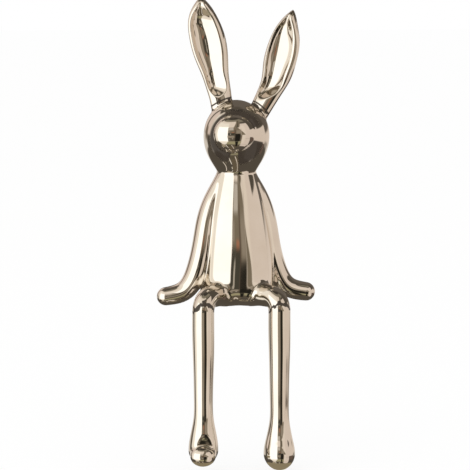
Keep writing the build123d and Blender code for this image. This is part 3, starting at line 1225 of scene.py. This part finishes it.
def plated_glaze(look, name="champagne_plating", rougher=0.0, bare=None):
    """Champagne plating over glaze: a mirror with slow tone, haze and pinprick texture.

    Shaded is one of the shares above with its values: there dark brown painted
    shade is laid over the plating.
    """
    if name in bpy.data.materials:
        return bpy.data.materials[name]
    material, nodes, links, surface = new_material(name)
    place = nodes.new("ShaderNodeTexCoord").outputs["Object"]
    plating = nodes.new("ShaderNodeBsdfPrincipled")
    plating.inputs["Metallic"].default_value = 1.0
    tone = two_tones(
        nodes, links, noise(nodes, links, place, *TONE_NOISE),
        look.thin_plate, look.plate, *TONE_EDGE,
    )
    links.new(tone, plating.inputs["Base Color"])
    haze = nodes.new("ShaderNodeMapRange")
    polish = look.polish + rougher, look.polish * HAZE_SHARE + rougher
    for side, share, roughness in zip(("Min", "Max"), HAZE_EDGE, polish):
        haze.inputs["From " + side].default_value = share
        haze.inputs["To " + side].default_value = roughness
    links.new(noise(nodes, links, place, *HAZE_NOISE), haze.inputs["Value"])
    links.new(haze.outputs["Result"], plating.inputs["Roughness"])
    bump = nodes.new("ShaderNodeBump")
    bump.inputs["Strength"].default_value = PINPRICK_STRENGTH
    bump.inputs["Distance"].default_value = PINPRICK_DEPTH
    links.new(noise(nodes, links, place, *PINPRICK_NOISE), bump.inputs["Height"])
    links.new(bump.outputs["Normal"], plating.inputs["Normal"])
    if bare is None:
        links.new(plating.outputs["BSDF"], surface)
        return material
    share, *values = bare
    # Painted shade: a dark brown shader, mixed in over the plating by the share
    glaze = nodes.new("ShaderNodeBsdfPrincipled")
    glaze.inputs["Base Color"].default_value = (*look.bare_glaze, 1.0)
    glaze.inputs["Roughness"].default_value = look.bare_polish
    glaze.inputs["Specular IOR Level"].default_value = look.bare_shine
    shade_mix = nodes.new("ShaderNodeMixShader")
    links.new(share(nodes, links, place, *values), shade_mix.inputs["Fac"])
    links.new(plating.outputs["BSDF"], shade_mix.inputs[1])
    links.new(glaze.outputs["BSDF"], shade_mix.inputs[2])
    links.new(shade_mix.outputs["Shader"], surface)
    return material


def seen_rays(nodes, links):
    """One for the rays that show the background: the camera's and the mirrored ones."""
    rays = nodes.new("ShaderNodeLightPath")
    total = rays.outputs["Is Camera Ray"]
    for name in ("Is Glossy Ray", "Is Transmission Ray"):
        total = maths(nodes, links, "MAXIMUM", total, rays.outputs[name])
    return total


def show_to_mirrors(thing):
    """Hides an object from all rays but the mirrored ones."""
    for kind in ("camera", "diffuse", "shadow", "transmission", "volume_scatter"):
        setattr(thing, "visible_" + kind, False)


def white_floor(shade):
    """A matt floor with a faint mottle, seen as white with a pale shadow."""
    material, nodes, links, surface = new_material("pale_floor")
    shader = nodes.new("ShaderNodeBsdfPrincipled")
    shader.inputs["Roughness"].default_value = FLOOR_ROUGHNESS
    shader.inputs["Specular IOR Level"].default_value = 0.0
    place = nodes.new("ShaderNodeTexCoord").outputs["Object"]
    dark = [FLOOR_MOTTLE * part for part in shade]
    mottle = noise(nodes, links, place, *MOTTLE_NOISE)
    links.new(two_tones(nodes, links, mottle, dark, shade), shader.inputs["Base Color"])
    light = nodes.new("ShaderNodeEmission")
    blend = nodes.new("ShaderNodeMixShader")
    seen = maths(nodes, links, "MULTIPLY", seen_rays(nodes, links), FLOOR_GLOW)
    links.new(seen, blend.inputs["Fac"])
    links.new(shader.outputs["BSDF"], blend.inputs[1])
    links.new(light.outputs["Emission"], blend.inputs[2])
    links.new(blend.outputs["Shader"], surface)
    return material


# The mirrored room


def room_glow(azimuth, elevation):
    """Colour of the room for each direction, in degrees.

    Azimuth 0 is towards the camera and 90 to its right. Each patch is laid over the
    ones before it. It spans low to high and left to right, its sides may lean to
    another left and right at the top, and its edges are soft.
    """
    white = (1.5, 1.5, 1.46)
    warm_white = (1.02, 0.96, 0.86)
    cream = (0.88, 0.79, 0.69)
    beige = (0.80, 0.70, 0.62)
    far_cream = (0.75, 0.70, 0.64)
    far_beige = (0.80, 0.68, 0.61)
    pale_grey = (0.60, 0.555, 0.49)
    pale_card = (0.60, 0.55, 0.48)
    sand_grey = (0.55, 0.50, 0.42)
    sand = (0.50, 0.44, 0.37)
    low_sand = (0.42, 0.36, 0.26)
    stone = (0.40, 0.36, 0.30)
    khaki = (0.396, 0.366, 0.22)
    mud = (0.36, 0.31, 0.245)
    clay = (0.34, 0.29, 0.23)
    far_clay = (0.31, 0.27, 0.23)
    brick = (0.42, 0.20, 0.12)
    moss = (0.26, 0.235, 0.18)
    olive = (0.231, 0.193, 0.139)
    bark = (0.20, 0.165, 0.12)
    far_bark = (0.20, 0.16, 0.12)
    low_bark = (0.15, 0.12, 0.08)
    russet = (0.15, 0.105, 0.085)
    far_umber = (0.145, 0.124, 0.104)
    dusk = (0.14, 0.10, 0.075)
    night = (0.13, 0.11, 0.08)
    low_night = (0.12, 0.10, 0.068)
    umber = (0.097, 0.083, 0.066)
    shade = (0.073, 0.067, 0.05)
    soot = (0.055, 0.047, 0.04)
    black = (0.02, 0.018, 0.014)
    glow = np.zeros(azimuth.shape + (3,)) + umber

    def edge(value, soft):
        """From nothing to one over soft degrees: 1 / (1 + exp(-4 value / soft))."""
        return 1 / (1 + np.exp(np.clip(-4 * value / soft, -EDGE_LIMIT, EDGE_LIMIT)))

    def patch(tone, low, high, left, right, left_top=None, right_top=None, soft=2.0):
        share = np.clip((elevation - low) / (high - low), 0.0, 1.0)
        left = left if left_top is None else left + (left_top - left) * share
        right = right if right_top is None else right + (right_top - right) * share
        aside = (azimuth - (left + right) / 2 + 180) % 360 - 180
        mask = edge((right - left) / 2 - np.abs(aside), soft)
        mask = mask * edge(elevation - low, soft) * edge(high - elevation, soft)
        glow[...] += mask[..., None] * (np.asarray(tone) - glow)

    # behind the rabbit
    patch(far_umber, -4, 74, 120, 240, soft=6)
    patch(far_cream, -14, 1, 124, 234)
    patch(far_clay, -14, -7, 118, 145, soft=3)
    patch(far_beige, 2, 48, -164, -104, soft=3)
    patch(umber, 2, 50, -140, -132, -134, -126, soft=4)
    patch(far_bark, -5, 12, -140, -122, soft=5)
    # ceiling and walls
    patch(soot, 74, 89, -115, 115, soft=4)
    patch(moss, 55, 74, -80, 78, soft=4)
    patch(cream, -46, -26, -54, 34, -78, 34, soft=3)
    patch(cream, -26, 60, -102, 34, soft=3)
    patch(beige, -51, -43, 38, 80, 33, 86, soft=1.5)
    patch(beige, -43, -18, 33, 88, 33, 78, soft=2)
    patch(beige, -18, 46, 33, 77, soft=2)
    patch(cream, -36, 36, 33, 50, soft=6)
    patch(beige, -12.5, 16, 60, 119, soft=1)
    patch(beige, -9, 3, 118, 165, soft=3)
    patch(russet, -27, -13, 86, 120, soft=2)
    # window
    patch(warm_white, -42, -26, -50, -17, -76, -17, soft=4)
    patch(warm_white, -26, 50, -104, -17, soft=5)
    patch(white, -29, 32, -78, -16, soft=3)
    # doorway
    patch(olive, -3, 29, -16, 50, -16, 20, soft=1.5)
    patch(bark, -29, -3, -16, 36, soft=1.5)
    patch(pale_grey, 17, 28, -13, 5, soft=1)
    patch(clay, 8, 15, -16, -8, soft=1)
    patch(brick, 5, 9, -2, 8, soft=1)
    patch(dusk, 0, 19, 9, 13, soft=1.5)
    patch(clay, 3, 16, 16, 30, soft=3)
    patch(shade, -5, 6, -16, 10, soft=1.5)
    patch(mud, -15, -5, -18, 7, soft=2)
    patch(night, -29, -14, -16, 12, soft=1.5)
    patch(black, -29, 2, 11, 30, soft=2)
    patch(sand, -4, 22, 31, 33, soft=1)
    patch(sand_grey, 0, 3, -8, -4, soft=1)
    patch(pale_card, -19, -16, 0, 4, soft=1)
    patch(stone, -24, -20, -12, -8, soft=1)
    # floor
    patch(khaki, -44, -29, -34, 38, -17, 38, soft=2)
    patch(low_sand, -57, -44, -74, -46, soft=2)
    patch(low_night, -57, -43, -40, 40, soft=3)
    patch(low_bark, -76, -55, -30, 24, soft=2)
    patch(warm_white, -66, -46, -38, -33, -41, -36, soft=1)
    patch(cream, -72, -48, 12, 16, -6, -2, soft=1)
    patch(cream, -60, -50, -88, -84, soft=1)
    patch(black, -54, -29, 18, 27, 12, 25, soft=1.5)
    # olive screen
    patch(olive, 28, 66, 5, 27, 26, 46, soft=2)
    patch(shade, 28, 66, 16, 20, 34, 38, soft=1.5)
    return glow


# Operators


class RABBIT_OT_body(bpy.types.Operator):
    """Makes the bell-shaped body with its pour hole"""

    bl_idname = "rabbit.body"
    bl_label = "Body"

    def execute(self, context):
        figure = Figure(context.scene)
        trunk = figure.trunk
        hem, side = bell_outline(trunk)
        hole = trunk.hole_radius
        rows, columns = BODY_GRID
        start = WELL_START_SHARE * hole
        corners = [(start, trunk.hole_depth), (hole, trunk.hole_depth), (hole, 0.0)]
        well = np.concatenate([
            along(here, there, count)
            for here, there, count in zip(corners, corners[1:] + [hem[0]], WELL_ROWS)
        ])
        skin = evenly(np.concatenate([hem, side]), rows)
        top = along(skin[-1], (0.0, trunk.neck_height), BODY_TUCK_ROWS)[1:]
        rings = turned_grid(np.concatenate([well, skin, top]), columns)
        piece = clothe(
            figure, "body", "body_skin", rings,
            np.array([0.0, 0.0, trunk.hole_depth]),
            np.array([0.0, 0.0, trunk.neck_height]),
            fixed_rows=len(well), flat=True,
        )
        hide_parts("body_shell")
        return {"FINISHED"}


class RABBIT_OT_head(bpy.types.Operator):
    """Makes the egg-shaped head"""

    bl_idname = "rabbit.head"
    bl_label = "Head"

    def execute(self, context):
        figure = Figure(context.scene)
        trunk = figure.trunk
        rows, columns = HEAD_GRID
        skin = evenly(head_outline(trunk), rows)
        base = along((0.0, trunk.neck_height), skin[0], HEAD_TUCK_ROWS)[1:]
        rings = turned_grid(np.concatenate([base, skin[:-1]]), columns)
        ball = figure.forms["muzzle"]
        # Plating with painted shade in the crease round the muzzle
        finish = plated_glaze(
            context.scene.rabbit_glaze, "head_plating",
            bare=(
                muzzle_crease_shade, ball.centre + CREASE_SHIFT,
                CREASE_REACH * ball.radii[0],
            ),
        )
        piece = clothe(
            figure, "head", "head_skin", rings,
            np.array([0.0, 0.0, trunk.neck_height]),
            np.array([0.0, 0.0, trunk.neck_height + trunk.head_height]),
            finish=finish,
        )
        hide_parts("head_shell")
        return {"FINISHED"}


class RABBIT_OT_muzzle(bpy.types.Operator):
    """Makes the round muzzle"""

    bl_idname = "rabbit.muzzle"
    bl_label = "Muzzle"

    def execute(self, context):
        figure = Figure(context.scene)
        ball = figure.forms["muzzle"]
        rows, columns = MUZZLE_GRID
        tilt = np.linspace(0.0, math.pi, rows)[1:-1]
        outline = np.stack([np.sin(tilt), np.cos(tilt)], 1)
        rings = turned_grid(outline, columns)[..., [0, 2, 1]] * (1, -1, 1)
        rings = rings * ball.radii + ball.centre
        pole = np.array([0.0, ball.radii[1], 0.0])
        piece = clothe(
            figure, "muzzle", "muzzle_skin", rings, ball.centre - pole, ball.centre + pole
        )
        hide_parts("muzzle")
        return {"FINISHED"}


class RABBIT_OT_ears(bpy.types.Operator):
    """Makes the two leaf-shaped ears with their hollow fronts"""

    bl_idname = "rabbit.ears"
    bl_label = "Ears"

    def execute(self, context):
        figure = Figure(context.scene)
        # Plating with painted shade round the roots of the ears
        finish = plated_glaze(
            context.scene.rabbit_glaze, "ear_plating",
            bare=(ear_root_shade, (0.0, 0.0, figure.head_middle), EAR_ROOT_REACH),
        )
        for name in ("left_ear", "right_ear"):
            rings, first, last = self.leaf_grid(figure.forms[name], *EAR_GRID)
            piece = clothe(
                figure, name, name + "_skin", rings, first, last, finish=finish
            )
            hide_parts(name)
        return {"FINISHED"}

    @staticmethod
    def leaf_grid(blade, rows, columns):
        """Level rings up an ear.

        Row i of n lies at the share (i / n)^0.9 of the rise. Ring a has x = w cos a.
        The back is y = d sin a, and the front is the further back of y = d sin a and
        the hollow's y = f - h + h sqrt(1 - (x / (w - rim))^2).
        """
        share = np.linspace(0.0, 1.0, rows) ** EAR_ROW_POWER
        east, north, edge, depth, floor = (
            values[:, None] for values in blade.slice_at(share)
        )
        angle = np.linspace(0.0, 2 * math.pi, columns, endpoint=False)
        across = edge * np.cos(angle)
        deep = depth * np.sin(angle)
        inner = np.maximum(edge - blade.ears.rim, TINY)
        bowl = np.sqrt(np.maximum(1 - (blade.pushed(across, inner) / inner) ** 2, 0.0))
        hollow = floor - blade.ears.hollow_round * (1 - bowl)
        inside = (np.sin(angle) < 0) & (np.abs(across) < inner)
        deep = np.where(inside, np.maximum(deep, hollow), deep)
        up = blade.root[2] + blade.rise * share[:, None] + 0 * across
        rings = np.stack([
            east + across * blade.across[0] - deep * blade.across[1],
            north + across * blade.across[1] + deep * blade.across[0],
            up,
        ], -1)
        middle = np.stack([east[:, 0], north[:, 0], up[:, 0]], 1)
        return rings, middle[0], middle[-1]


class RABBIT_OT_arms(bpy.types.Operator):
    """Makes the two arms with their mitten hands"""

    bl_idname = "rabbit.arms"
    bl_label = "Arms"

    def execute(self, context):
        figure = Figure(context.scene)
        for name in ("left_arm", "right_arm"):
            rings, first, last = tube_grid(figure.forms[name], *ARM_GRID)
            piece = clothe(figure, name, name + "_skin", rings, first, last, flat=True)
            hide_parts(name)
        return {"FINISHED"}


class RABBIT_OT_legs(bpy.types.Operator):
    """Makes the two long legs with their drop-shaped feet"""

    bl_idname = "rabbit.legs"
    bl_label = "Legs"

    def execute(self, context):
        figure = Figure(context.scene)
        knee_out = (figure.limbs.left_knee_out + figure.limbs.right_knee_out) / 2
        # Plating with painted shade in an arch over each shin
        finish = plated_glaze(
            context.scene.rabbit_glaze, "leg_plating", bare=(knee_crease_shade, knee_out)
        )
        for name in ("left_leg", "right_leg"):
            rings, first, last = tube_grid(figure.forms[name].tube, *LEG_GRID)
            piece = clothe(
                figure, name, name + "_skin", rings, first, last, finish=finish
            )
            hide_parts(name)
        return {"FINISHED"}


class RABBIT_OT_base(bpy.types.Operator):
    """Finishes the disc that closes the pour hole"""

    bl_idname = "rabbit.base"
    bl_label = "Base Disc"

    def execute(self, context):
        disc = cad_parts["base_disc"]
        finish = plated_glaze(context.scene.rabbit_glaze, "wiped_base_glaze", WIPED)
        for slot in disc.material_slots:
            slot.material = finish
        return {"FINISHED"}


class RABBIT_OT_stage(bpy.types.Operator):
    """Sets the floor, the lamp, the mirrored room and the camera"""

    bl_idname = "rabbit.stage"
    bl_label = "Stage"

    def execute(self, context):
        look = context.scene.rabbit_stage
        self.view(context)
        self.floor(context, look)
        self.foot_lights(context, look)
        self.room(context, look)
        self.light(context, look)
        context.scene.view_settings.view_transform = "Standard"
        return {"FINISHED"}

    @staticmethod
    def add(context, name, data):
        thing = bpy.data.objects.new(name, data)
        context.scene.collection.objects.link(thing)
        return thing

    def view(self, context):
        """The photograph's view: a little from the rabbit's right and from above."""
        azimuth, elevation = math.radians(VIEW_AZIMUTH), math.radians(VIEW_ELEVATION)
        back = Vector((
            math.sin(azimuth) * math.cos(elevation),
            -math.cos(azimuth) * math.cos(elevation),
            math.sin(elevation),
        ))
        right = Vector((math.cos(azimuth), math.sin(azimuth), 0.0))
        aim = right * VIEW_ASIDE + back.cross(right) * VIEW_UP
        lens = bpy.data.cameras.new("camera")
        lens.angle = math.radians(VIEW_ANGLE)
        lens.clip_end = VIEW_REACH
        camera = self.add(context, "camera", lens)
        camera.location = aim + back
        camera.rotation_euler = back.to_track_quat("Z", "Y").to_euler()
        context.scene.camera = camera

    def floor(self, context, look):
        """The pale floor, a hair below the lower sole."""
        drop = cad_box[0][2] - look.floor_gap
        corners = [
            (FLOOR_HALF * east, FLOOR_HALF * north, drop)
            for east, north in ((-1, -1), (1, -1), (1, 1), (-1, 1))
        ]
        mesh = bpy.data.meshes.new("floor")
        mesh.from_pydata(corners, [], [(0, 1, 2, 3)])
        mesh.materials.append(white_floor(look.floor))
        floor = self.add(context, "floor", mesh)
        floor.visible_glossy = False

    def foot_lights(self, context, look):
        """The lit floor right under the feet, as two discs that only mirrors see."""
        limbs = context.scene.rabbit_limbs
        turn = np.linspace(0.0, 2 * math.pi, GLOW_CORNERS, endpoint=False)
        drop = cad_box[0][2] - look.floor_gap + GLOW_LIFT
        reach = look.foot_light_reach
        rings = [
            np.stack([
                middle + reach * np.cos(turn),
                -limbs.knee_forward + reach * np.sin(turn),
                np.full(GLOW_CORNERS, drop),
            ], 1)
            for middle in (limbs.left_knee_out, -limbs.right_knee_out)
        ]
        mesh = bpy.data.meshes.new("foot_lights")
        faces = np.arange(2 * GLOW_CORNERS).reshape(2, GLOW_CORNERS)
        mesh.from_pydata(np.concatenate(rings).tolist(), [], faces.tolist())
        material, nodes, links, surface = new_material("foot_light")
        light = nodes.new("ShaderNodeEmission")
        light.inputs["Color"].default_value = (*look.foot_light, 1.0)
        links.new(light.outputs["Emission"], surface)
        mesh.materials.append(material)
        discs = self.add(context, "foot_lights", mesh)
        show_to_mirrors(discs)

    def room(self, context, look):
        """A ball of light round the rabbit that only its mirror finish sees.

        A place of azimuth a, from the camera's, and elevation e lies at
        R (sin a cos e, -cos a cos e, sin e).
        """
        rows, columns = ROOM_GRID
        elevation = np.linspace(-90.0, 90.0, rows)[:, None]
        azimuth = np.linspace(-180.0, 180.0, columns, endpoint=False)[None, :]
        elevation, azimuth = np.broadcast_arrays(elevation, azimuth)
        glow = room_glow(azimuth, elevation)
        turn = np.radians(azimuth + VIEW_AZIMUTH)
        lift = np.radians(np.clip(elevation, -ROOM_POLE, ROOM_POLE))
        points = ROOM_REACH * np.stack([
            np.sin(turn) * np.cos(lift), -np.cos(turn) * np.cos(lift), np.sin(lift)
        ], -1)
        ring = np.arange(rows * columns).reshape(rows, columns)
        after = np.roll(ring, -1, axis=1)
        quads = np.stack([ring[:-1], ring[1:], after[1:], after[:-1]], -1).reshape(-1, 4)
        mesh = bpy.data.meshes.new("room")
        mesh.from_pydata(points.reshape(-1, 3).tolist(), [], quads.tolist())
        tint = mesh.attributes.new("glow", "FLOAT_COLOR", "POINT")
        shades = np.concatenate([glow.reshape(-1, 3), np.ones((rows * columns, 1))], 1)
        tint.data.foreach_set("color", shades.ravel())
        material, nodes, links, surface = new_material("room_glow")
        light = nodes.new("ShaderNodeEmission")
        light.inputs["Strength"].default_value = look.room
        source = nodes.new("ShaderNodeAttribute")
        source.attribute_name = tint.name
        links.new(source.outputs["Color"], light.inputs["Color"])
        links.new(light.outputs["Emission"], surface)
        mesh.materials.append(material)
        room = self.add(context, "room", mesh)
        show_to_mirrors(room)

    def light(self, context, look):
        """Even light from all sides, seen as plain white, and one soft lamp."""
        world = bpy.data.worlds.new("even_light")
        world.use_nodes = True
        nodes, links = world.node_tree.nodes, world.node_tree.links
        blend = nodes.new("ShaderNodeMixShader")
        links.new(seen_rays(nodes, links), blend.inputs["Fac"])
        skies = nodes["Background"], nodes.new("ShaderNodeBackground")
        for place, (sky, strength) in enumerate(zip(skies, (look.sky, 1.0)), 1):
            sky.inputs["Color"].default_value = (1.0, 1.0, 1.0, 1.0)
            sky.inputs["Strength"].default_value = strength
            links.new(sky.outputs["Background"], blend.inputs[place])
        links.new(blend.outputs["Shader"], nodes["World Output"].inputs["Surface"])
        context.scene.world = world
        lamp = bpy.data.lights.new("soft_lamp", "AREA")
        lamp.energy = look.lamp
        lamp.size = LAMP_SIZE
        lamp_object = self.add(context, "soft_lamp", lamp)
        lamp_object.location = LAMP_PLACE
        lamp_object.rotation_euler = Vector(LAMP_PLACE).to_track_quat("Z", "Y").to_euler()
        lamp_object.visible_glossy = False


class RABBIT_PT_panel(bpy.types.Panel):
    """Lists the rabbit's pieces and its stage"""

    bl_idname = "RABBIT_PT_panel"
    bl_label = "Shelf Rabbit"
    bl_space_type = "VIEW_3D"
    bl_region_type = "UI"
    bl_category = "Rabbit"

    def draw(self, context):
        layout = self.layout
        for operator in OPERATORS:
            layout.operator(operator.bl_idname)
        for name, group in GROUPS.items():
            box = layout.box()
            box.label(text=group.__doc__)
            for prop in group.__annotations__:
                box.prop(getattr(context.scene, name), prop)


OPERATORS = (
    RABBIT_OT_body,
    RABBIT_OT_head,
    RABBIT_OT_muzzle,
    RABBIT_OT_ears,
    RABBIT_OT_arms,
    RABBIT_OT_legs,
    RABBIT_OT_base,
    RABBIT_OT_stage,
)


def register():
    for cls in (*GROUPS.values(), *OPERATORS, RABBIT_PT_panel):
        bpy.utils.register_class(cls)
    for name, group in GROUPS.items():
        setattr(bpy.types.Scene, name, PointerProperty(type=group))


def unregister():
    for name in GROUPS:
        delattr(bpy.types.Scene, name)
    for cls in (RABBIT_PT_panel, *reversed(OPERATORS), *reversed(GROUPS.values())):
        bpy.utils.unregister_class(cls)


def main():
    register()
    for operator in OPERATORS:
        group, name = operator.bl_idname.split(".")
        getattr(getattr(bpy.ops, group), name)()


if __name__ == "__main__":
    main()
